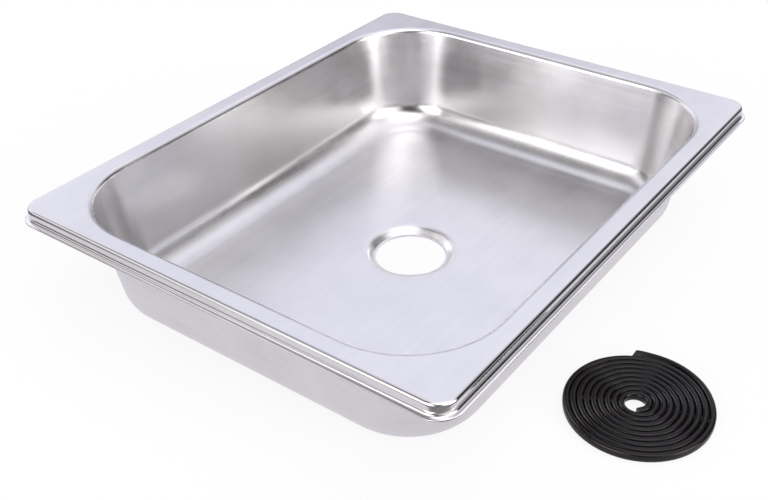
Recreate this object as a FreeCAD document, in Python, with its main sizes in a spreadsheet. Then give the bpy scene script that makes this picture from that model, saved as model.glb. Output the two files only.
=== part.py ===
import FreeCAD, Part
import math
import os

import Sketcher

V = FreeCAD.Vector

# Driving sizes in millimetres, angles in degrees.
SIZES = {
    # The pressed sheet, and its rim: a flat flange, a skirt folded down and a lip folded out.
    "overall_length": 325.0,
    "overall_width": 265.0,
    "sheet_gauge": 0.8,
    "flange_width": 11.5,
    "rim_corner_radius": 10.5,
    "rim_bend_radius": 1.0,
    "rim_drop": 6.6,
    "lip_width": 2.3,
    "lip_bend_radius": 0.7,
    # The bowl, measured on its inner face.
    "bowl_depth": 65.0,
    "bowl_corner_radius": 49.0,
    "wall_draft": 9.3,
    "mouth_bend_radius": 3.0,
    "floor_bend_radius": 17.0,
    # The drain: a recess pressed down in the floor for a waste fitting, and its hole.
    "drain_hole_diameter": 41.0,
    "drain_recess_diameter": 49.8,
    "drain_recess_depth": 4.2,
    "drain_recess_draft": 35.0,
    "drain_top_bend_radius": 2.4,
    "drain_seat_bend_radius": 1.8,
    # The rubber strip that seals the flange to the worktop, wound up flat beside the sink.
    "strip_thickness": 2.8,
    "strip_height": 4.8,
    "strip_turn_gap": 0.45,
    "strip_inner_radius": 6.5,
    "strip_hook_radius": 3.2,
    "strip_inner_tail": 6.0,
    "strip_outer_tail": 6.0,
    "strip_left_of_middle": 43.0,
    "strip_before_front_edge": 31.0,
    "strip_turned": 110.0,
}
# The coil, from its inner end: a short hook, a quarter turn, then half turns that grow.
STRIP_HALF_TURNS = 18
STRIP_HOOK_TURN_SHARE = 0.15
STRIP_FIRST_TURN_SHARE = 0.25
HALF_TURN_SHARE = 0.5

# Points taken on each piece of the strip's route to measure the gap between its turns, and how
# many thicknesses along the route two points lie apart before they count as two turns.
SAMPLES_PER_PIECE = 60
TURN_APART_SHARE = 4
# How near an edge lies to the loop it is looked for on, as a share of the loop's size.
LOOP_TOLERANCE_SHARE = 1e-4
QUARTER_TURN = math.pi / 2

doc = FreeCAD.newDocument("CamperSink")
sheet = doc.addObject("Spreadsheet::Sheet", "Sizes")


def fill_sheet():
    """One row for each driving size: its name, its value and the value's alias."""
    for row, (name, size) in enumerate(SIZES.items(), start=1):
        sheet.set(f"A{row}", name)
        sheet.set(f"B{row}", str(size))
        sheet.setAlias(f"B{row}", name)
    doc.recompute()


def value(expression):
    """The number that an expression on the sheet gives."""
    return float(sheet.evalExpression(expression))


# Sizes worked out from the driving ones, as expressions on the sheet.
GAUGE = "Sizes.sheet_gauge"
TOTAL_HEIGHT = "(Sizes.bowl_depth + Sizes.drain_recess_depth + Sizes.sheet_gauge)"
FLANGE_UNDERSIDE = f"({TOTAL_HEIGHT} - {GAUGE})"
FLOOR_TOP = f"({TOTAL_HEIGHT} - Sizes.bowl_depth)"
FLOOR_UNDERSIDE = f"({FLOOR_TOP} - {GAUGE})"
LIP_TOP = f"({TOTAL_HEIGHT} - Sizes.rim_drop)"
LIP_UNDERSIDE = f"({LIP_TOP} - {GAUGE})"
# How far a drafted face lies out from the one a sheet's gauge inside it, measured level.
WALL_OUT = f"({GAUGE} / cos(Sizes.wall_draft * 1deg))"
RECESS_OUT = f"({GAUGE} / cos(Sizes.drain_recess_draft * 1deg))"


class Outline:
    """A rectangle with round corners, centred on the sink, as expressions on the sheet."""

    def __init__(self, length, width, radius):
        self.length = length
        self.width = width
        self.radius = radius

    def grown(self, amount):
        """The outline that lies the given amount further out all round."""
        return Outline(f"({self.length} + 2 * {amount})", f"({self.width} + 2 * {amount})",
                       f"({self.radius} + {amount})")

    def shrunk(self, amount):
        """The outline that lies the given amount further in all round."""
        return Outline(f"({self.length} - 2 * {amount})", f"({self.width} - 2 * {amount})",
                       f"({self.radius} - {amount})")

    def holds(self, point):
        """Whether a point, seen from above, lies on the outline."""
        radius = value(self.radius)
        across = abs(point.x) - (value(self.length) / 2 - radius)
        forward = abs(point.y) - (value(self.width) / 2 - radius)
        outside = math.hypot(max(across, 0), max(forward, 0))
        distance = outside + min(max(across, forward), 0) - radius
        return abs(distance) < LOOP_TOLERANCE_SHARE * value(self.length)


SKIRT_OUTER = Outline("(Sizes.overall_length - 2 * Sizes.lip_width)",
                      "(Sizes.overall_width - 2 * Sizes.lip_width)", "Sizes.rim_corner_radius")
SKIRT_INNER = SKIRT_OUTER.shrunk(GAUGE)
LIP_OUTER = SKIRT_OUTER.grown("Sizes.lip_width")
MOUTH_INNER = Outline(f"({SKIRT_OUTER.length} - 2 * Sizes.flange_width)",
                      f"({SKIRT_OUTER.width} - 2 * Sizes.flange_width)",
                      "Sizes.bowl_corner_radius")
MOUTH_OUTER = MOUTH_INNER.grown(WALL_OUT)


def drafted(outline, depth, draft):
    """The outline after a drafted face has gone down by the depth."""
    return outline.shrunk(f"({depth} * tan({draft} * 1deg))")


def origin_plane(body, role):
    """One of the body's own origin planes."""
    return next(item for item in body.Origin.OriginFeatures if item.Role == role)


def level_sketch(body, name, level):
    """A sketch that lies level at a height above the worktop."""
    sketch = body.newObject("Sketcher::SketchObject", name)
    sketch.AttachmentSupport = [(origin_plane(body, "XY_Plane"), "")]
    sketch.MapMode = "FlatFace"
    sketch.setExpression("AttachmentOffset.Base.z", level)
    return sketch


def name_and_bind(sketch, constraint, name, expression):
    """Add a constraint, name it and let the sheet drive it."""
    index = sketch.addConstraint(constraint)
    sketch.renameConstraint(index, name)
    sketch.setExpression(f"Constraints.{name}", expression)


def add_outline(sketch, outline, prefix=""):
    """Draw an outline in a sketch as four lines and four corner arcs, and constrain it."""
    half_length = value(outline.length) / 2
    half_width = value(outline.width) / 2
    radius = value(outline.radius)
    corners = ((1, -1), (1, 1), (-1, 1), (-1, -1))
    first = sketch.GeometryCount
    for turn, (side_x, side_y) in enumerate(corners):
        centre = V(side_x * (half_length - radius), side_y * (half_width - radius), 0)
        start = QUARTER_TURN * (turn - 1)
        circle = Part.Circle(centre, V(0, 0, 1), radius)
        sketch.addGeometry(Part.ArcOfCircle(circle, start, start + QUARTER_TURN), False)
    sides = (((1, 0), (1, -1), (1, 1)), ((0, 1), (1, 1), (-1, 1)),
             ((-1, 0), (-1, 1), (-1, -1)), ((0, -1), (-1, -1), (1, -1)))
    for (out_x, out_y), (from_x, from_y), (to_x, to_y) in sides:
        reach_x = half_length if out_x else half_length - radius
        reach_y = half_width if out_y else half_width - radius
        start = V(from_x * reach_x, from_y * reach_y, 0)
        end = V(to_x * reach_x, to_y * reach_y, 0)
        sketch.addGeometry(Part.LineSegment(start, end), False)
    arcs = [first + turn for turn in range(4)]
    lines = [first + 4 + turn for turn in range(4)]
    for turn in range(4):
        following = arcs[(turn + 1) % 4]
        sketch.addConstraint(Sketcher.Constraint("Tangent", arcs[turn], 2, lines[turn], 1))
        sketch.addConstraint(Sketcher.Constraint("Tangent", lines[turn], 2, following, 1))
    sketch.addConstraint(Sketcher.Constraint("Vertical", lines[0]))
    sketch.addConstraint(Sketcher.Constraint("Horizontal", lines[1]))
    sketch.addConstraint(Sketcher.Constraint("Vertical", lines[2]))
    sketch.addConstraint(Sketcher.Constraint("Horizontal", lines[3]))
    for arc in arcs[1:]:
        sketch.addConstraint(Sketcher.Constraint("Equal", arcs[0], arc))
    sketch.addConstraint(Sketcher.Constraint("Symmetric", arcs[0], 3, arcs[2], 3, -1, 1))
    name_and_bind(sketch, Sketcher.Constraint("DistanceX", lines[2], 1, lines[0], 1, 2 * half_length),
                  prefix + "length", outline.length)
    name_and_bind(sketch, Sketcher.Constraint("DistanceY", lines[3], 1, lines[1], 1, 2 * half_width),
                  prefix + "width", outline.width)
    name_and_bind(sketch, Sketcher.Constraint("Radius", arcs[0], radius),
                  prefix + "radius", outline.radius)


def outline_sketch(body, name, level, outer, inner=None):
    """A level sketch of one outline, or of the ring between two."""
    sketch = level_sketch(body, name, level)
    add_outline(sketch, outer)
    if inner is not None:
        add_outline(sketch, inner, "inner_")
    return sketch


def circle_sketch(body, name, level, diameter):
    """A level sketch of one circle about the drain's axis."""
    sketch = level_sketch(body, name, level)
    sketch.addGeometry(Part.Circle(V(0, 0, 0), V(0, 0, 1), value(diameter) / 2), False)
    sketch.addConstraint(Sketcher.Constraint("Coincident", 0, 3, -1, 1))
    name_and_bind(sketch, Sketcher.Constraint("Diameter", 0, value(diameter)), "diameter", diameter)
    return sketch


def press_down(body, kind, name, sketch, depth, draft="0"):
    """Add or cut what a sketch gives when it is carried down by the depth, drawn in by a draft."""
    feature = body.newObject(f"PartDesign::{kind}", name)
    feature.Profile = sketch
    feature.Type = "Length"
    feature.Reversed = kind == "Pad"
    feature.setExpression("Length", depth)
    if draft != "0":
        feature.setExpression("TaperAngle", f"-{draft}")
    sketch.Visibility = False
    doc.recompute()
    return feature


def loop_edges(shape, level, lies_on):
    """Names of the edges at one height whose middle lies on the wanted loop."""
    height = value(level)
    tolerance = LOOP_TOLERANCE_SHARE * value(TOTAL_HEIGHT)
    names = []
    for number, edge in enumerate(shape.Edges, start=1):
        middle = edge.valueAt((edge.FirstParameter + edge.LastParameter) / 2)
        level_all_along = all(abs(point.z - height) < tolerance
                              for point in [middle] + [vertex.Point for vertex in edge.Vertexes])
        if level_all_along and lies_on(middle):
            names.append(f"Edge{number}")
    return names


def dress_loop(body, kind, name, level, lies_on, size_name, size):
    """A fillet or a chamfer along one level loop of edges."""
    base = body.Tip
    edges = loop_edges(base.Shape, level, lies_on)
    if not edges:
        raise RuntimeError(f"{name}: no edges at {value(level):.3f}")
    feature = body.newObject(f"PartDesign::{kind}", name)
    feature.Base = (base, edges)
    feature.setExpression(size_name, size)
    doc.recompute()


def round_loop(body, name, level, lies_on, radius):
    """A bend's visible side, rounded."""
    dress_loop(body, "Fillet", name, level, lies_on, "Radius", radius)


def flatten_loop(body, name, level, lies_on, radius, half_bend):
    """A bend's hidden side, a flat that touches the arc of the given radius at its middle."""
    setback = f"({radius}) * (1 / cos({half_bend}) - 1) / sin({half_bend})"
    dress_loop(body, "Chamfer", name, level, lies_on, "Size", setback)


def on_circle(diameter):
    """A test for points at half the given diameter from the drain's axis."""
    radius = value(diameter) / 2
    return lambda point: abs(math.hypot(point.x, point.y) - radius) < LOOP_TOLERANCE_SHARE * radius


def press_bowl(body):
    """The flange's sheet and the drafted bowl under it, then the hollow, all of one gauge."""
    flange = outline_sketch(body, "FlangeOutline", TOTAL_HEIGHT, SKIRT_OUTER)
    press_down(body, "Pad", "Flange", flange, GAUGE)
    outer = outline_sketch(body, "BowlOutline", TOTAL_HEIGHT, MOUTH_OUTER)
    outer_depth = f"(Sizes.bowl_depth + {GAUGE})"
    press_down(body, "Pad", "BowlForm", outer, outer_depth, "Sizes.wall_draft")
    inner = outline_sketch(body, "HollowOutline", TOTAL_HEIGHT, MOUTH_INNER)
    press_down(body, "Pocket", "Hollow", inner, "Sizes.bowl_depth", "Sizes.wall_draft")
    # Each bend is rounded first on the side where that adds to the sheet.
    inner_foot = drafted(MOUTH_INNER, "Sizes.bowl_depth", "Sizes.wall_draft")
    round_loop(body, "FloorBend", FLOOR_TOP, inner_foot.holds, "Sizes.floor_bend_radius")
    outer_foot = drafted(MOUTH_OUTER, outer_depth, "Sizes.wall_draft")
    round_loop(body, "FloorBendUnder", FLOOR_UNDERSIDE, outer_foot.holds,
               f"Sizes.floor_bend_radius + {GAUGE}")
    under_flange = drafted(MOUTH_OUTER, GAUGE, "Sizes.wall_draft")
    flatten_loop(body, "MouthBendUnder", FLANGE_UNDERSIDE, under_flange.holds,
                 f"Sizes.mouth_bend_radius - {GAUGE}", "((90deg - Sizes.wall_draft * 1deg) / 2)")
    round_loop(body, "MouthBend", TOTAL_HEIGHT, MOUTH_INNER.holds, "Sizes.mouth_bend_radius")


def fold_rim(body):
    """The skirt folded down from the flange and the lip folded out at its foot."""
    skirt = outline_sketch(body, "SkirtOutline", FLANGE_UNDERSIDE, SKIRT_OUTER, SKIRT_INNER)
    press_down(body, "Pad", "Skirt", skirt, "Sizes.rim_drop")
    lip = outline_sketch(body, "LipOutline", LIP_TOP, LIP_OUTER, SKIRT_INNER)
    press_down(body, "Pad", "Lip", lip, GAUGE)
    round_loop(body, "RimBend", TOTAL_HEIGHT, SKIRT_OUTER.holds, "Sizes.rim_bend_radius")
    round_loop(body, "LipBend", LIP_TOP, SKIRT_OUTER.holds, "Sizes.lip_bend_radius")
    flatten_loop(body, "LipBendUnder", LIP_UNDERSIDE, SKIRT_INNER.holds,
                 f"Sizes.lip_bend_radius + {GAUGE}", "45deg")


def press_drain(body):
    """The recess for the waste fitting's flange, pressed down from the floor, and its hole."""
    inner_top = "Sizes.drain_recess_diameter"
    outer_top = f"({inner_top} + 2 * {RECESS_OUT})"
    draft = "Sizes.drain_recess_draft"
    narrowing = f"2 * tan({draft} * 1deg)"
    outer_depth = f"(Sizes.drain_recess_depth + {GAUGE})"
    outer = circle_sketch(body, "RecessOutline", FLOOR_TOP, outer_top)
    press_down(body, "Pad", "RecessForm", outer, outer_depth, draft)
    inner = circle_sketch(body, "RecessHollowOutline", FLOOR_TOP, inner_top)
    press_down(body, "Pocket", "RecessHollow", inner, "Sizes.drain_recess_depth", draft)
    seat_diameter = f"({inner_top} - Sizes.drain_recess_depth * {narrowing})"
    foot_diameter = f"({outer_top} - {outer_depth} * {narrowing})"
    half_bend = f"((90deg - {draft} * 1deg) / 2)"
    round_loop(body, "RecessTopBend", FLOOR_TOP, on_circle(inner_top),
               "Sizes.drain_top_bend_radius")
    flatten_loop(body, "RecessSeatBend", GAUGE, on_circle(seat_diameter),
                 "Sizes.drain_seat_bend_radius", half_bend)
    flatten_loop(body, "RecessSeatBendUnder", "0", on_circle(foot_diameter),
                 f"Sizes.drain_seat_bend_radius + {GAUGE}", half_bend)
    hole = circle_sketch(body, "DrainHoleOutline", FLOOR_TOP, "Sizes.drain_hole_diameter")
    press_down(body, "Pocket", "DrainHole", hole, f"({outer_depth} + {GAUGE})")


def make_sink_basin():
    """The whole sink: one deep-drawn sheet with its bowl, folded rim and drain recess."""
    body = doc.addObject("PartDesign::Body", "SinkBasin")
    body.Label = "sink_basin"
    press_bowl(body)
    fold_rim(body)
    press_drain(body)
    body.Placement = FreeCAD.Placement()
    return body


def strip_route():
    """The strip's middle line from its inner end outwards: level, turning left, about the origin."""
    inner = value("Sizes.strip_inner_radius")
    step = value("Sizes.strip_thickness + Sizes.strip_turn_gap") * HALF_TURN_SHARE
    moves = [(value("Sizes.strip_hook_radius"), STRIP_HOOK_TURN_SHARE),
             (inner, STRIP_FIRST_TURN_SHARE)]
    for half_turn in range(STRIP_HALF_TURNS):
        moves.append((inner + (half_turn + 1) * step, HALF_TURN_SHARE))
    heading = -2 * math.pi * (STRIP_HOOK_TURN_SHARE + STRIP_FIRST_TURN_SHARE)
    point = V(0, 0, 0)
    tail_end = point + level_direction(heading) * value("Sizes.strip_inner_tail")
    edges = [Part.makeLine(point, tail_end)]
    point = tail_end
    for radius, turn_share in moves:
        turn = 2 * math.pi * turn_share
        centre = point - radius_direction(heading) * radius
        middle = centre + radius_direction(heading + turn / 2) * radius
        end = centre + radius_direction(heading + turn) * radius
        edges.append(Part.Arc(point, middle, end).toShape())
        point = end
        heading += turn
    tail_end = point + level_direction(heading) * value("Sizes.strip_outer_tail")
    edges.append(Part.makeLine(point, tail_end))
    wire = Part.Wire(edges)
    wire.translate(centre * -1)
    return wire


def level_direction(heading):
    """The level direction at an angle from the X axis."""
    return V(math.cos(heading), math.sin(heading), 0)


def radius_direction(heading):
    """The direction from an arc's centre to a point where it heads the given way, turning left."""
    return V(math.sin(heading), -math.cos(heading), 0)


def strip_section(start, heading):
    """The strip's section, a rectangle on edge, square to the route where it starts."""
    across = V(-heading.y, heading.x, 0) * value("Sizes.strip_thickness / 2")
    up = V(0, 0, 1) * value("Sizes.strip_height / 2")
    corners = [start + across + up, start - across + up, start - across - up, start + across - up]
    return Part.makePolygon(corners + corners[:1])


def least_gap(wire, thickness):
    """The least clear space between one turn of the strip and the next, measured on points."""
    points = []
    travelled = 0
    for edge in wire.OrderedEdges:
        for point in edge.discretize(SAMPLES_PER_PIECE)[1:]:
            travelled += point.distanceToPoint(points[-1][1]) if points else 0
            points.append((travelled, point))
    apart = TURN_APART_SHARE * thickness
    least = math.inf
    for place, (travelled, point) in enumerate(points):
        for other_travelled, other in points[place + 1:]:
            if other_travelled - travelled > apart:
                least = min(least, point.distanceToPoint(other))
    return least - thickness


def make_sealing_strip():
    """The rubber sealing strip, one length wound up on edge in a flat coil."""
    route = strip_route()
    start = route.OrderedEdges[0].firstVertex().Point
    heading = (route.OrderedEdges[0].lastVertex().Point - start).normalize()
    section = strip_section(start, heading)
    strip = doc.addObject("Part::Feature", "SealingStrip")
    strip.Label = "sealing_strip"
    strip.Shape = route.makePipeShell([section], True, False)
    turned = FreeCAD.Rotation(V(0, 0, 1), value("Sizes.strip_turned"))
    place = V(value("-Sizes.strip_left_of_middle"),
              value("-Sizes.overall_width / 2 - Sizes.strip_before_front_edge"),
              value("Sizes.strip_height / 2"))
    strip.Placement = FreeCAD.Placement(place, turned)
    thickness = value("Sizes.strip_thickness")
    print(f"strip length {route.Length:.1f} mm, least gap between turns "
          f"{least_gap(route, thickness):.2f} mm")
    return strip


def check_and_write(parts):
    """Stop on any failed feature or bad solid, then write one file for each sub-part."""
    doc.recompute()
    for item in doc.Objects:
        if "Invalid" in item.State or "Error" in item.State:
            raise RuntimeError(f"{item.Label} failed: {item.State}")
    os.makedirs("parts", exist_ok=True)
    for part in parts:
        shape = part.Shape
        if shape.isNull() or not shape.isValid() or len(shape.Solids) != 1:
            raise RuntimeError(f"{part.Label} isn't one valid solid")
        box = shape.BoundBox
        print(f"{part.Label}: {shape.Volume / 1000:.2f} cm3, x {box.XMin:.2f} to {box.XMax:.2f}, "
              f"y {box.YMin:.2f} to {box.YMax:.2f}, z {box.ZMin:.2f} to {box.ZMax:.2f}")
        shape.exportStep(f"parts/{part.Label}.step")


fill_sheet()
check_and_write([make_sink_basin(), make_sealing_strip()])
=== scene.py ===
import bpy
import math
from mathutils import Matrix, Vector


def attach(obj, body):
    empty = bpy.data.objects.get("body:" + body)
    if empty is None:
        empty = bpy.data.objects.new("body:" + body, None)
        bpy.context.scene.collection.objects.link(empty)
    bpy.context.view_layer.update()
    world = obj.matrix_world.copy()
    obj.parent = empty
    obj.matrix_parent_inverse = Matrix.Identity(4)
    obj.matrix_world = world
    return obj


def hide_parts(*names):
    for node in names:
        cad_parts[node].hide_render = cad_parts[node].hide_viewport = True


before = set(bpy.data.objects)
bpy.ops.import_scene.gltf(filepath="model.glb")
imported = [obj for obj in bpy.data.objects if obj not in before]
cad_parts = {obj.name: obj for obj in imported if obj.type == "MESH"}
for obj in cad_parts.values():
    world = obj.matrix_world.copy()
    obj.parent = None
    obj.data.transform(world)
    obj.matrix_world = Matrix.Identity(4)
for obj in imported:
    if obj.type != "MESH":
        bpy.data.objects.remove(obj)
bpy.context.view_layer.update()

MM = 0.001
QUARTER_TURN = math.pi / 2
FULL_TURN = 2 * math.pi
QUADRANTS = ((1, 1), (-1, 1), (-1, -1), (1, -1))
WHITE = (1, 1, 1, 1)

# The camera that took the photograph, fitted to the rim's corners: where it stands, which ways
# are right and ahead for it, and its lens.
CAMERA_PLACE = Vector((-407.6, -292.0, 348.4)) * MM
CAMERA_RIGHT = Vector((0.58981, -0.80738, -0.01631))
CAMERA_AHEAD = Vector((0.66033, 0.49382, -0.56578))
CAMERA_SENSOR = 36.0
CAMERA_LENS = 48.84
CAMERA_SHIFT = -9 / 768

# The pressed sheet's sizes, measured on the face that is seen from above.
LENGTH = 325.0 * MM
WIDTH = 265.0 * MM
TOP = 70.0 * MM
GAUGE = 0.8 * MM
RIM_CORNER = 10.5 * MM
RIM_BEND = 1.8 * MM
RIM_DROP = 6.6 * MM
LIP_WIDTH = 2.3 * MM
LIP_BEND = 0.9 * MM
FLANGE_WIDTH = 11.5 * MM
BOWL_CORNER = 49.0 * MM
BOWL_DEPTH = 65.0 * MM
WALL_DRAFT = math.radians(9.3)
MOUTH_BEND = 3.0 * MM
FLOOR_BEND = 17.0 * MM
DRAIN_HOLE = 20.5 * MM
RECESS_TOP = 25.2 * MM
RECESS_DEPTH = 4.2 * MM
RECESS_DRAFT = math.radians(41.5)
RECESS_TOP_BEND = 5.5 * MM
RECESS_SEAT_BEND = 1.0 * MM

SKIRT_HALF_LENGTH = LENGTH / 2 - LIP_WIDTH
SKIRT_HALF_WIDTH = WIDTH / 2 - LIP_WIDTH
MOUTH_HALF_LENGTH = SKIRT_HALF_LENGTH - FLANGE_WIDTH
MOUTH_HALF_WIDTH = SKIRT_HALF_WIDTH - FLANGE_WIDTH
FLOOR_LEVEL = TOP - BOWL_DEPTH

# Every loop of the sheet has the same steps along its sides and in its corners, so that all
# loops can be bridged. Each bend of a section has steps of its own.
SIDE_STEPS = 8
CORNER_STEPS = 24
RIM_BEND_STEPS = 12
LIP_BEND_STEPS = 10
MOUTH_BEND_STEPS = 12
FLOOR_BEND_STEPS = 24
RECESS_TOP_BEND_STEPS = 10
RECESS_SEAT_BEND_STEPS = 8

# A narrow flat border on both sides of a bend keeps the flat faces flat to the eye.
BEND_BORDER = 0.4 * MM

# The sheet's cut edges, which turn more sharply than any bend's step, are rounded.
CUT_EDGE_ANGLE = math.radians(60)
CUT_EDGE_ROUNDING = 0.12 * MM
CUT_EDGE_STEPS = 2
SMOOTH_ANGLE = math.radians(40)

# How far the rim stands over the bowl, and the recess under it, while their loops are bridged:
# loops that lie in one plane are bridged crosswise.
APART = 20.0 * MM
SAME_PLACE = 0.01 * MM

# The strip's section and the flat coil that it is wound in: the turns touch.
STRIP_THICKNESS = 3.25 * MM
STRIP_HEIGHT = 4.8 * MM
STRIP_ROUNDING = 1.55 * MM
ROUNDING_STEPS = 5
COIL_MIDDLE = Vector((-43.0, -163.5)) * MM
COIL_INNER = 5.8 * MM
COIL_PITCH = 3.32 * MM
COIL_TURNS = 9.25
COIL_START = math.radians(290)
POINTS_PER_TURN = 24
STEPS_PER_POINT = 3

# The strip's inner end hooks into the coil's hole, from point to point in millimetres.
INNER_HOOK = ((-4.6, -2.6), (-3.0, -3.9), (-1.2, -5.0), (0.4, -5.6))

# Its outer end turns on its side over the last points, moves out to make room for that, runs
# straight on in two steps, and is cut slanting within its last rings of points.
END_TILT = math.radians(50)
END_POINTS = 5
END_SHIFT = 0.9 * MM
END_RUN = (3.0 * MM, 6.0 * MM)
END_SLANT = math.radians(-32)
END_RINGS = 7
END_REACH = 2 * STRIP_HEIGHT
END_SURROUNDINGS = 3 * STRIP_HEIGHT

# The steel's patterns, as lumps in a metre along x, y and z: the belt's lines on level faces and
# on the walls, the cloudy drag of the dies, and the long waves of the sheet.
LINES_ALONG = (12, 350, 350)
LINES_AROUND = (12, 12, 350)
STEEL_CLOUDS = (28, 28, 28)
SHEET_WAVES = (14, 14, 14)
CLOUDS_SHARE = 0.8
LINES_SHARE = 0.2
LINES_DEPTH = 0.001 * MM
WAVES_DEPTH = 0.05 * MM
STEEL_TONES = ("dbdada", "e7e6e6")
STEEL_TONES_BETWEEN = (0.3, 0.7)

# How rough the steel is: first the walls, between two values of their mottle. The level faces
# are rougher, and a face counts as level by how far its normal points up or down. The rim's
# bends, by how far they lie outside the skirt's face, are smoother.
WALLS_ROUGHNESS = (0.21, 0.27)
MOTTLE_BETWEEN = (0.25, 0.75)
LEVEL_ROUGHER = 0.09
LEVEL_BETWEEN = (0.45, 0.9)
RIM_ROUGHNESS = 0.10
RIM_BETWEEN = (-2.2 * MM, -0.4 * MM)

# The rubber's patterns, as lumps in a metre, and its finish.
RUBBER_BLOOM = (90, 90, 90)
RUBBER_GRAIN = (2500, 2500, 2500)
GRAIN_DEPTH = 0.004 * MM
RUBBER_TONES = ("110e0f", "191617")
RUBBER_TONES_BETWEEN = (0.35, 0.75)
BLOOM_BETWEEN = (0.3, 0.75)
RUBBER_ROUGHNESS = (0.10, 0.17)
RUBBER_SHINE = 0.25

# The floor, and how much of its light is its own, for the camera and for the metal.
FLOOR_SIZE = 12
FLOOR_COLOUR = "f4f4f4"
FLOOR_ROUGHNESS = 0.9
FLOOR_SEEN_BY_CAMERA = 0.85
FLOOR_SEEN_BY_METAL = 0.85
# The strength and tint of the painted glow that the metal sees on the floor's table top.
FLOOR_IN_METAL = 0.82
PAINTED_GLOW_TINT = "fbf7ff"

# The metal mirrors a painted glow on the floor, an emission shaped as a table top and dimmer beyond
# it: where the table's front lies, as an azimuth and a height, how far off the front edge and the
# two sides are, how softly they end, and how much of the painted glow is left on the floor beyond
# them.
TABLE_FRONT = (225, 0)
TABLE_EDGE = 235 * MM
TABLE_LEFT = 240 * MM
TABLE_RIGHT = -215 * MM
TABLE_FADE = 25 * MM
BEYOND_TABLE = 0.1

# The studio round the sink: how bright and of what white the room is, where it is of a cooler
# white, and the patches that are brighter or darker than it. Each patch has its azimuth, height
# and half width in degrees, and what it adds.
ROOM = 1.29
ROOM_TINT = "fffcff"
COOL_TINT = "f0f0ff"
COOL_SIDE = (38, 40, 70, 1.0)
STUDIO = (
    (177, 6, 34, 4.37),    # the soft box at the left
    (275, 12, 27, 4.98),   # the soft box at the right
    (225, 61, 31, 1.23),   # the lamp over the camera
    (210, 22, 33, -2.19),  # the dim side under the camera
    (-41, 5, 58, -1.2),    # the dim room behind the right soft box
    (-50, -1, 26, -1.09),  # the foot of that side
    (119, 6, 29, -1.21),   # the foot of the wall at the left
    (35, 7, 29, -0.81),    # the far wall's foot
    (147, 60, 31, -1.08),  # the dark ceiling over the left soft box
    (94, 47, 16, -1.05),   # the dark wall between the left and the far side
    (61, 50, 17, -0.53),   # the ceiling over the far wall
    (9, 52, 16, -0.29),    # the ceiling at the right of it
)


# ---- camera

def place_camera():
    """The photograph's camera."""
    right = CAMERA_RIGHT.normalized()
    ahead = CAMERA_AHEAD.normalized()
    data = bpy.data.cameras.new("camera")
    data.sensor_width = CAMERA_SENSOR
    data.lens = CAMERA_LENS
    data.shift_x = CAMERA_SHIFT
    camera = bpy.data.objects.new("camera", data)
    bpy.context.scene.collection.objects.link(camera)
    turn = Matrix((right, right.cross(ahead), -ahead)).transposed().to_4x4()
    camera.matrix_world = Matrix.Translation(CAMERA_PLACE) @ turn
    bpy.context.scene.camera = camera


# ---- selecting

def only(piece):
    """Select this piece alone and make it the active one."""
    bpy.ops.object.select_all(action="DESELECT")
    piece.select_set(True)
    bpy.context.view_layer.objects.active = piece


def select_where(piece, wanted):
    """In edit mode, select the vertices whose place is wanted."""
    bpy.ops.object.mode_set(mode="EDIT")
    bpy.ops.mesh.select_mode(type="VERT")
    bpy.ops.mesh.select_all(action="DESELECT")
    bpy.ops.object.mode_set(mode="OBJECT")
    for vertex in piece.data.vertices:
        vertex.select = wanted(vertex.co)
    bpy.ops.object.mode_set(mode="EDIT")


# ---- the coiled strip

def coil_route():
    """The strip's middle line from its inner end outwards, as (x, y, z, tilt)."""
    level = STRIP_HEIGHT / 2
    route = [(x * MM, y * MM, level, 0) for x, y in INNER_HOOK]
    steps = round(COIL_TURNS * POINTS_PER_TURN)
    for step in range(steps + 1):
        turned = step / POINTS_PER_TURN
        lie = max(0, 1 - (steps - step) / END_POINTS)
        radius = COIL_INNER + COIL_PITCH * turned + END_SHIFT * lie
        angle = COIL_START + FULL_TURN * turned
        route.append((radius * math.cos(angle), radius * math.sin(angle), level, END_TILT * lie))
    last = Vector(route[-1][:2])
    heading = Matrix.Rotation(QUARTER_TURN, 2) @ last.normalized()
    for ahead in END_RUN:
        route.append((*(last + heading * ahead), level, END_TILT))
    return [(COIL_MIDDLE.x + x, COIL_MIDDLE.y + y, z, tilt) for x, y, z, tilt in route]


def new_curve(name, dimensions, kind, points):
    """A curve object of one spline."""
    data = bpy.data.curves.new(name, "CURVE")
    data.dimensions = dimensions
    spline = data.splines.new(kind)
    spline.points.add(len(points) - 1)
    for point, place in zip(spline.points, points):
        point.co = (*place, 1)
    curve = bpy.data.objects.new(name, data)
    bpy.context.scene.collection.objects.link(curve)
    return curve, spline


def draw_strip_section():
    """The strip's section, a rectangle with round edges."""
    reach_x = STRIP_THICKNESS / 2 - STRIP_ROUNDING
    reach_y = STRIP_HEIGHT / 2 - STRIP_ROUNDING
    outline = []
    for corner, (side_x, side_y) in enumerate(QUADRANTS):
        for step in range(ROUNDING_STEPS + 1):
            angle = QUARTER_TURN * (corner + step / ROUNDING_STEPS)
            outline.append((side_x * reach_x + STRIP_ROUNDING * math.cos(angle),
                            side_y * reach_y + STRIP_ROUNDING * math.sin(angle), 0))
    section, ring = new_curve("strip_section", "2D", "POLY", outline)
    ring.use_cyclic_u = True
    return section


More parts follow.
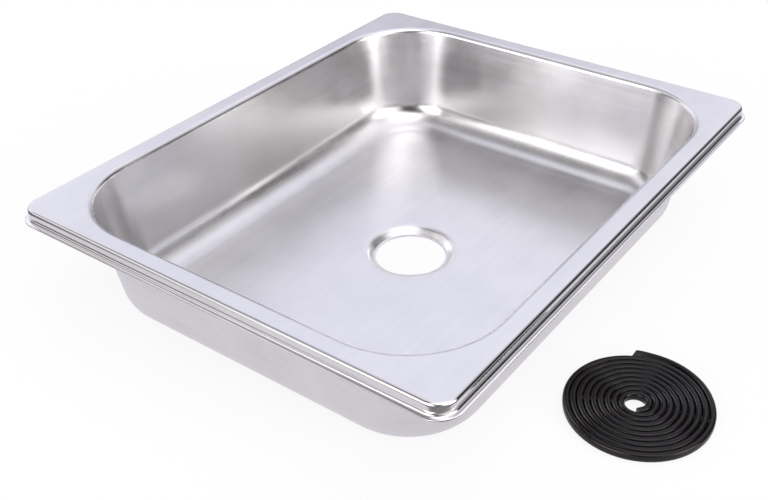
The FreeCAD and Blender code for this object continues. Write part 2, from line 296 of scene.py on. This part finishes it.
def wind_strip():
    """The rubber strip, its section carried along the coil, and the line that it follows."""
    route = coil_route()
    strip, spline = new_curve("strip", "3D", "NURBS", [point[:3] for point in route])
    spline.order_u = 3
    spline.use_endpoint_u = True
    for point, (_, _, _, tilt) in zip(spline.points, route):
        point.tilt = tilt
    strip.data.twist_mode = "Z_UP"
    strip.data.resolution_u = STEPS_PER_POINT
    line = bpy.data.meshes.new_from_object(strip)
    path = [tuple(vertex.co) for vertex in line.vertices]

    section = draw_strip_section()
    strip.data.bevel_mode = "OBJECT"
    strip.data.bevel_object = section
    strip.data.use_fill_caps = True
    only(strip)
    bpy.ops.object.convert(target="MESH")
    bpy.data.objects.remove(section)
    bpy.data.meshes.remove(line)
    cut_end(strip, [Vector(place) for place in path])
    bpy.ops.object.shade_smooth_by_angle(angle=SMOOTH_ANGLE)
    return strip, path


def cut_end(strip, path):
    """Cut the strip's outer end off on a slant, as with a knife, and leave the turn beside it."""
    end = path[-1]
    heading = (end - path[-2]).normalized()
    beside = [place for place in path if (place - end).length < END_SURROUNDINGS]
    last_run = beside[-END_RINGS:]
    others = beside[:-END_RINGS]

    def on_end(place):
        if (place - end).length > END_REACH:
            return False
        nearest = min((place - other).length for other in last_run)
        return nearest < min((place - other).length for other in others)

    select_where(strip, on_end)
    bpy.ops.mesh.bisect(plane_co=end - heading * STRIP_THICKNESS / 2, use_fill=True,
                        clear_outer=True, plane_no=Matrix.Rotation(END_SLANT, 3, "Z") @ heading)
    bpy.ops.object.mode_set(mode="OBJECT")


# ---- the pressed sheet

def section_points(corners):
    """The points of a section, whose corners are (x, z, bend radius, steps in the bend)."""
    points = []
    for number, (x, z, radius, steps) in enumerate(corners):
        here = Vector((x, z))
        if radius == 0:
            points.append(here)
            continue
        before = (Vector(corners[number - 1][:2]) - here).normalized()
        after = (Vector(corners[number + 1][:2]) - here).normalized()
        half = before.angle(after) / 2
        setback = radius / math.tan(half)
        middle = here + (before + after).normalized() * (radius / math.sin(half))
        first = here + before * setback
        last = here + after * setback
        turn = (first - middle).angle_signed(last - middle)
        points.append(first + before * BEND_BORDER)
        for step in range(steps + 1):
            points.append(middle + Matrix.Rotation(-turn * step / steps, 2) @ (first - middle))
        points.append(last + after * BEND_BORDER)
    return points


def draw_section(name, corners, y):
    """Draw a section in the plane at y, point by point, and leave it selected in edit mode."""
    points = section_points(corners)
    bpy.ops.object.select_all(action="DESELECT")
    # A tiny plane is merged into the one point that the section is drawn from.
    bpy.ops.mesh.primitive_plane_add(size=MM, location=(0, 0, 0))
    piece = bpy.context.object
    piece.name = name
    piece.data.name = name
    bpy.ops.object.mode_set(mode="EDIT")
    bpy.ops.mesh.select_all(action="SELECT")
    bpy.ops.mesh.merge(type="CENTER")
    bpy.ops.transform.translate(value=(points[0].x, y, points[0].y))
    for here, following in zip(points, points[1:]):
        step = following - here
        bpy.ops.mesh.extrude_region_move(TRANSFORM_OT_translate={"value": (step.x, 0, step.y)})
    bpy.ops.mesh.select_all(action="SELECT")
    return piece


def close_round():
    """Merge the last section with the first and leave edit mode."""
    bpy.ops.mesh.select_all(action="SELECT")
    bpy.ops.mesh.remove_doubles(threshold=SAME_PLACE)
    bpy.ops.object.mode_set(mode="OBJECT")


def run_round(half_length, half_width, corner):
    """Carry the selected section round a rectangle with round corners, back to its start."""
    centres = [Vector((side_x * (half_length - corner), side_y * (half_width - corner)))
               for side_x, side_y in QUADRANTS]
    place = centres[-1]
    for centre in centres:
        step = (centre - place) / SIDE_STEPS
        for _ in range(SIDE_STEPS):
            bpy.ops.mesh.extrude_region_move(TRANSFORM_OT_translate={"value": (*step, 0)})
        # With no window a positive angle turns clockwise, so the axis points down.
        bpy.ops.mesh.spin(steps=CORNER_STEPS, angle=QUARTER_TURN, center=(*centre, 0),
                          axis=(0, 0, -1))
        place = centre
    close_round()


def press_rim():
    """The rim's upper face, pressed high over the bowl's: the skirt folded down and the lip."""
    high = TOP + APART
    rim = draw_section("sink_sheet", [
        (SKIRT_HALF_LENGTH - 2 * RIM_BEND, high, 0, 0),
        (SKIRT_HALF_LENGTH, high, RIM_BEND, RIM_BEND_STEPS),
        (SKIRT_HALF_LENGTH, high - RIM_DROP, LIP_BEND, LIP_BEND_STEPS),
        (SKIRT_HALF_LENGTH + LIP_WIDTH, high - RIM_DROP, 0, 0),
    ], -(SKIRT_HALF_WIDTH - RIM_CORNER))
    run_round(SKIRT_HALF_LENGTH, SKIRT_HALF_WIDTH, RIM_CORNER)
    return rim


def press_bowl():
    """The bowl's inner face: the bend at its mouth, the drafted walls and the bend to the floor."""
    foot = MOUTH_HALF_LENGTH - BOWL_DEPTH * math.tan(WALL_DRAFT)
    floor_setback = FLOOR_BEND * math.tan((QUARTER_TURN - WALL_DRAFT) / 2)
    bowl = draw_section("bowl", [
        (MOUTH_HALF_LENGTH + MOUTH_BEND + BEND_BORDER, TOP, 0, 0),
        (MOUTH_HALF_LENGTH, TOP, MOUTH_BEND, MOUTH_BEND_STEPS),
        (foot, FLOOR_LEVEL, FLOOR_BEND, FLOOR_BEND_STEPS),
        (foot - floor_setback - 2 * BEND_BORDER, FLOOR_LEVEL, 0, 0),
    ], -(MOUTH_HALF_WIDTH - BOWL_CORNER))
    run_round(MOUTH_HALF_LENGTH, MOUTH_HALF_WIDTH, BOWL_CORNER)
    return bowl


def press_recess():
    """The drain recess, pressed low under the bowl's floor, with the hole in its seat."""
    low = FLOOR_LEVEL - APART
    seat = RECESS_TOP - RECESS_DEPTH * math.tan(RECESS_DRAFT)
    recess = draw_section("recess", [
        (RECESS_TOP + RECESS_TOP_BEND, low, 0, 0),
        (RECESS_TOP, low, RECESS_TOP_BEND, RECESS_TOP_BEND_STEPS),
        (seat, low - RECESS_DEPTH, RECESS_SEAT_BEND, RECESS_SEAT_BEND_STEPS),
        (DRAIN_HOLE, low - RECESS_DEPTH, 0, 0),
    ], 0)
    bpy.ops.mesh.spin(steps=4 * (CORNER_STEPS + SIDE_STEPS), angle=FULL_TURN,
                      center=(0, 0, 0), axis=(0, 0, 1))
    close_round()
    return recess


def bridge_levels(piece, level, other_level):
    """Bridge the two open loops that lie at these levels."""
    bpy.ops.object.mode_set(mode="EDIT")
    bpy.ops.mesh.select_mode(type="EDGE")
    bpy.ops.mesh.select_non_manifold(extend=False, use_wire=False, use_boundary=True,
                                     use_multi_face=False, use_non_contiguous=False,
                                     use_verts=False)
    bpy.ops.object.mode_set(mode="OBJECT")
    heights = [vertex.co.z for vertex in piece.data.vertices]
    for edge in piece.data.edges:
        height = heights[edge.vertices[0]]
        off_level = min(abs(height - level), abs(height - other_level))
        edge.select = edge.select and off_level < SAME_PLACE
    bpy.ops.object.mode_set(mode="EDIT")
    bpy.ops.mesh.bridge_edge_loops()
    bpy.ops.object.mode_set(mode="OBJECT")


def face_upwards(sheet):
    """Turn all faces the same way, the flange's up."""
    bpy.ops.object.mode_set(mode="EDIT")
    bpy.ops.mesh.select_all(action="SELECT")
    bpy.ops.mesh.normals_make_consistent(inside=False)
    bpy.ops.object.mode_set(mode="OBJECT")
    on_flange = Vector((SKIRT_HALF_LENGTH - RIM_BEND, 0, TOP))
    flange = min(sheet.data.polygons, key=lambda face: (face.center - on_flange).length)
    if flange.normal.z < 0:
        bpy.ops.object.mode_set(mode="EDIT")
        bpy.ops.mesh.select_all(action="SELECT")
        bpy.ops.mesh.flip_normals()
        bpy.ops.object.mode_set(mode="OBJECT")


def give_gauge(sheet):
    """Thicken the sheet downwards and round its cut edges a little."""
    gauge = sheet.modifiers.new("gauge", "SOLIDIFY")
    gauge.thickness = GAUGE
    gauge.offset = -1
    gauge.use_even_offset = True
    bpy.ops.object.modifier_apply(modifier="gauge")
    rounding = sheet.modifiers.new("cut_edges", "BEVEL")
    rounding.width = CUT_EDGE_ROUNDING
    rounding.segments = CUT_EDGE_STEPS
    rounding.limit_method = "ANGLE"
    rounding.angle_limit = CUT_EDGE_ANGLE
    rounding.harden_normals = True
    bpy.ops.object.modifier_apply(modifier="cut_edges")
    bpy.ops.object.shade_smooth_by_angle(angle=SMOOTH_ANGLE)


def press_sheet():
    """The sink: its rim, bowl and drain recess, joined into one sheet, then its gauge."""
    sheet = press_rim()
    bowl = press_bowl()
    recess = press_recess()
    only(sheet)
    bowl.select_set(True)
    recess.select_set(True)
    bpy.ops.object.join()
    bridge_levels(sheet, TOP + APART, TOP)
    bridge_levels(sheet, FLOOR_LEVEL, FLOOR_LEVEL - APART)
    select_where(sheet, lambda place: place.z > TOP + SAME_PLACE)
    bpy.ops.transform.translate(value=(0, 0, -APART))
    select_where(sheet, lambda place: place.z < 0)
    bpy.ops.transform.translate(value=(0, 0, APART))
    bpy.ops.object.mode_set(mode="OBJECT")
    face_upwards(sheet)
    give_gauge(sheet)
    return sheet


# ---- nodes

def colour(code):
    """A colour as linear values, from its sRGB code."""
    parts = [int(code[place:place + 2], 16) / 255 for place in (0, 2, 4)]
    return [part / 12.92 if part <= 0.04045 else ((part + 0.055) / 1.055) ** 2.4
            for part in parts] + [1]


def new_material(name):
    """An empty node material and its shader."""
    material = bpy.data.materials.new(name)
    material.use_nodes = True
    tree = material.node_tree
    return material, tree, tree.nodes["Principled BSDF"]


def add(tree, kind, inputs=None, **settings):
    """Add a node, set its properties, and set or link its inputs."""
    node = tree.nodes.new(kind)
    for name, setting in settings.items():
        setattr(node, name, setting)
    for name, source in (inputs or {}).items():
        if isinstance(source, bpy.types.NodeSocket):
            tree.links.new(source, node.inputs[name])
        else:
            node.inputs[name].default_value = source
    return node


def smooth(tree, value, between, to_low=0.0, to_high=1.0):
    """A value eased from one number to another between two of its source's values."""
    low, high = between
    return add(tree, "ShaderNodeMapRange", {"Value": value, "From Min": low, "From Max": high,
                                            "To Min": to_low, "To Max": to_high},
               interpolation_type="SMOOTHSTEP").outputs["Result"]


def math_node(tree, operation, first, second=0.0):
    """One sum on two values."""
    return add(tree, "ShaderNodeMath", {0: first, 1: second}, operation=operation).outputs[0]


def mix_values(tree, share, first, second):
    """The first value, with a share of the second."""
    return add(tree, "ShaderNodeMix", {0: share, 2: first, 3: second},
               data_type="FLOAT").outputs[0]


def mix_shaders(tree, share, first, second):
    """The first shader, with a share of the second."""
    return add(tree, "ShaderNodeMixShader", {0: share, 1: first, 2: second}).outputs[0]


def parts_of(tree, places):
    """The x, y and z of a place or a direction."""
    return add(tree, "ShaderNodeSeparateXYZ", {0: places}).outputs


def noise(tree, places, per_metre, detail=0.0, roughness=0.5):
    """A cloudy pattern, with so many lumps in a metre along x, y and z."""
    scaled = add(tree, "ShaderNodeMapping", {"Vector": places, "Scale": per_metre})
    cloud = add(tree, "ShaderNodeTexNoise", {"Vector": scaled.outputs[0], "Scale": 1.0,
                                             "Detail": detail, "Roughness": roughness})
    return cloud.outputs["Fac"]


def two_tones(tree, pattern, between, codes):
    """A colour that goes from one tone to another between two values of a pattern."""
    tone = add(tree, "ShaderNodeValToRGB", {0: pattern})
    for element, position, code in zip(tone.color_ramp.elements, between, codes):
        element.position = position
        element.color = colour(code)
    return tone.outputs[0]


def bump(tree, height, depth):
    """Ups and downs of a pattern, of this depth."""
    return add(tree, "ShaderNodeBump", {"Height": height, "Strength": 1.0, "Distance": depth})


# ---- materials

def satin_steel():
    """Stainless steel sheet, belt polished to a satin and then drawn and burnished by the dies.

    The belt's lines run along the sink on the level faces and round the bowl on its walls, and are
    drawn about 3 mm apart, coarser than the real 0.1 mm, so that they just show from this far.
    The rim's bends were rubbed smooth on the dies and mirror the room sharply.
    """
    material, tree, shader = new_material("satin polished stainless steel")
    where = add(tree, "ShaderNodeTexCoord")
    places = where.outputs["Object"]
    upward = parts_of(tree, where.outputs["Normal"])["Z"]
    level = smooth(tree, math_node(tree, "ABSOLUTE", upward), LEVEL_BETWEEN)
    along = noise(tree, places, LINES_ALONG)
    around = noise(tree, places, LINES_AROUND)
    lines = mix_values(tree, level, around, along)
    clouds = noise(tree, places, STEEL_CLOUDS, detail=3.0, roughness=0.6)
    mottle = math_node(tree, "ADD", math_node(tree, "MULTIPLY", clouds, CLOUDS_SHARE),
                       math_node(tree, "MULTIPLY", lines, LINES_SHARE))
    tree.links.new(two_tones(tree, mottle, STEEL_TONES_BETWEEN, STEEL_TONES),
                   shader.inputs["Base Color"])
    shader.inputs["Metallic"].default_value = 1.0

    satin = math_node(tree, "ADD", smooth(tree, mottle, MOTTLE_BETWEEN, *WALLS_ROUGHNESS),
                      math_node(tree, "MULTIPLY", level, LEVEL_ROUGHER))
    x, y, _ = parts_of(tree, places)
    out_x = math_node(tree, "SUBTRACT", math_node(tree, "ABSOLUTE", x), SKIRT_HALF_LENGTH)
    out_y = math_node(tree, "SUBTRACT", math_node(tree, "ABSOLUTE", y), SKIRT_HALF_WIDTH)
    rim = smooth(tree, math_node(tree, "MAXIMUM", out_x, out_y), RIM_BETWEEN)
    tree.links.new(mix_values(tree, rim, satin, RIM_ROUGHNESS), shader.inputs["Roughness"])

    sheet = bump(tree, noise(tree, places, SHEET_WAVES), WAVES_DEPTH)
    brush = bump(tree, lines, LINES_DEPTH)
    tree.links.new(sheet.outputs[0], brush.inputs["Normal"])
    tree.links.new(brush.outputs[0], shader.inputs["Normal"])
    return material


def black_rubber():
    """Extruded EPDM rubber: near black, with a fine grain from the die and a faint grey bloom."""
    material, tree, shader = new_material("extruded black rubber")
    places = add(tree, "ShaderNodeTexCoord").outputs["Object"]
    bloom = noise(tree, places, RUBBER_BLOOM, detail=4.0, roughness=0.6)
    tree.links.new(two_tones(tree, bloom, RUBBER_TONES_BETWEEN, RUBBER_TONES),
                   shader.inputs["Base Color"])
    shader.inputs["Specular IOR Level"].default_value = RUBBER_SHINE
    tree.links.new(smooth(tree, bloom, BLOOM_BETWEEN, *RUBBER_ROUGHNESS),
                   shader.inputs["Roughness"])
    skin = bump(tree, noise(tree, places, RUBBER_GRAIN, detail=2.0), GRAIN_DEPTH)
    tree.links.new(skin.outputs[0], shader.inputs["Normal"])
    return material


# ---- light and floor

def direction(azimuth, height):
    """The unit vector towards an azimuth and a height in degrees."""
    flat = math.cos(math.radians(height))
    return (flat * math.cos(math.radians(azimuth)), flat * math.sin(math.radians(azimuth)),
            math.sin(math.radians(height)))


def reach_towards(tree, places, azimuth, height):
    """How far a place or a direction reaches towards an azimuth and a height."""
    return add(tree, "ShaderNodeVectorMath", {0: places, 1: direction(azimuth, height)},
               operation="DOT_PRODUCT").outputs["Value"]


def painted_table_glow(tree):
    """The painted glow that the metal sees on the floor: bright on the table top, dimmer beyond it.
    """
    places = add(tree, "ShaderNodeTexCoord").outputs["Object"]
    across = parts_of(tree, places)["Y"]
    front = smooth(tree, reach_towards(tree, places, *TABLE_FRONT),
                   (TABLE_EDGE, TABLE_EDGE + TABLE_FADE), 1.0, BEYOND_TABLE)
    left = smooth(tree, across, (TABLE_LEFT, TABLE_LEFT + TABLE_FADE), 1.0, BEYOND_TABLE)
    right = smooth(tree, across, (TABLE_RIGHT - TABLE_FADE, TABLE_RIGHT), BEYOND_TABLE, 1.0)
    table = math_node(tree, "MULTIPLY", math_node(tree, "MULTIPLY", front, left), right)
    return math_node(tree, "MULTIPLY", table, FLOOR_IN_METAL)


def lay_floor():
    """A plain white floor. The camera sees it nearly white, with a faint shadow; the metal sees a
    painted glow on it, an emission that is nearly white on the table top and dimmer beyond.
    """
    bpy.ops.object.select_all(action="DESELECT")
    bpy.ops.mesh.primitive_plane_add(size=FLOOR_SIZE, location=(0, 0, 0))
    floor = bpy.context.object
    floor.name = "floor"
    material, tree, shader = new_material("white floor")
    shader.inputs["Base Color"].default_value = colour(FLOOR_COLOUR)
    shader.inputs["Roughness"].default_value = FLOOR_ROUGHNESS
    # The painted glow: an emission, shaped as a table top, that only the metal's reflections see.
    mirrored = add(tree, "ShaderNodeEmission", {"Color": colour(PAINTED_GLOW_TINT),
                                                "Strength": painted_table_glow(tree)}).outputs[0]
    white = add(tree, "ShaderNodeEmission", {"Color": WHITE, "Strength": 1.0}).outputs[0]
    path = add(tree, "ShaderNodeLightPath").outputs
    metal_share = math_node(tree, "MULTIPLY", path["Is Glossy Ray"], FLOOR_SEEN_BY_METAL)
    camera_share = math_node(tree, "MULTIPLY", path["Is Camera Ray"], FLOOR_SEEN_BY_CAMERA)
    seen_by_metal = mix_shaders(tree, metal_share, shader.outputs[0], mirrored)
    seen = mix_shaders(tree, camera_share, seen_by_metal, white)
    tree.links.new(seen, tree.nodes["Material Output"].inputs["Surface"])
    floor.data.materials.append(material)


def light_studio():
    """The pale room with its soft boxes, as the metal sees it; the camera sees plain white."""
    world = bpy.data.worlds.new("studio")
    bpy.context.scene.world = world
    world.use_nodes = True
    tree = world.node_tree
    towards = add(tree, "ShaderNodeTexCoord").outputs["Generated"]

    def near(azimuth, height, half_width, in_middle):
        """Eased from 0 at a patch's edge to a value in its middle."""
        edge = math.cos(math.radians(half_width))
        return smooth(tree, reach_towards(tree, towards, azimuth, height), (edge, 1.0),
                      0.0, in_middle)

    light = ROOM
    for patch in STUDIO:
        light = math_node(tree, "ADD", near(*patch), light)
    light = math_node(tree, "MAXIMUM", light, 0.0)
    tint = add(tree, "ShaderNodeMix", {0: near(*COOL_SIDE), 6: colour(ROOM_TINT),
                                       7: colour(COOL_TINT)}, data_type="RGBA").outputs[2]
    room = tree.nodes["Background"]
    tree.links.new(tint, room.inputs["Color"])
    tree.links.new(light, room.inputs["Strength"])
    white = add(tree, "ShaderNodeBackground", {"Color": WHITE, "Strength": 1.0})
    path = add(tree, "ShaderNodeLightPath").outputs
    seen = mix_shaders(tree, path["Is Camera Ray"], room.outputs[0], white.outputs[0])
    tree.links.new(seen, tree.nodes["World Output"].inputs["Surface"])


place_camera()

strip, strip_path = wind_strip()
strip.data.materials.append(black_rubber())
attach(strip, "root")
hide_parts("sealing_strip")

sink = press_sheet()
sink.data.materials.clear()
sink.data.materials.append(satin_steel())
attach(sink, "root")
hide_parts("sink_basin")

lay_floor()
light_studio()
bpy.context.scene.view_settings.view_transform = "Standard"
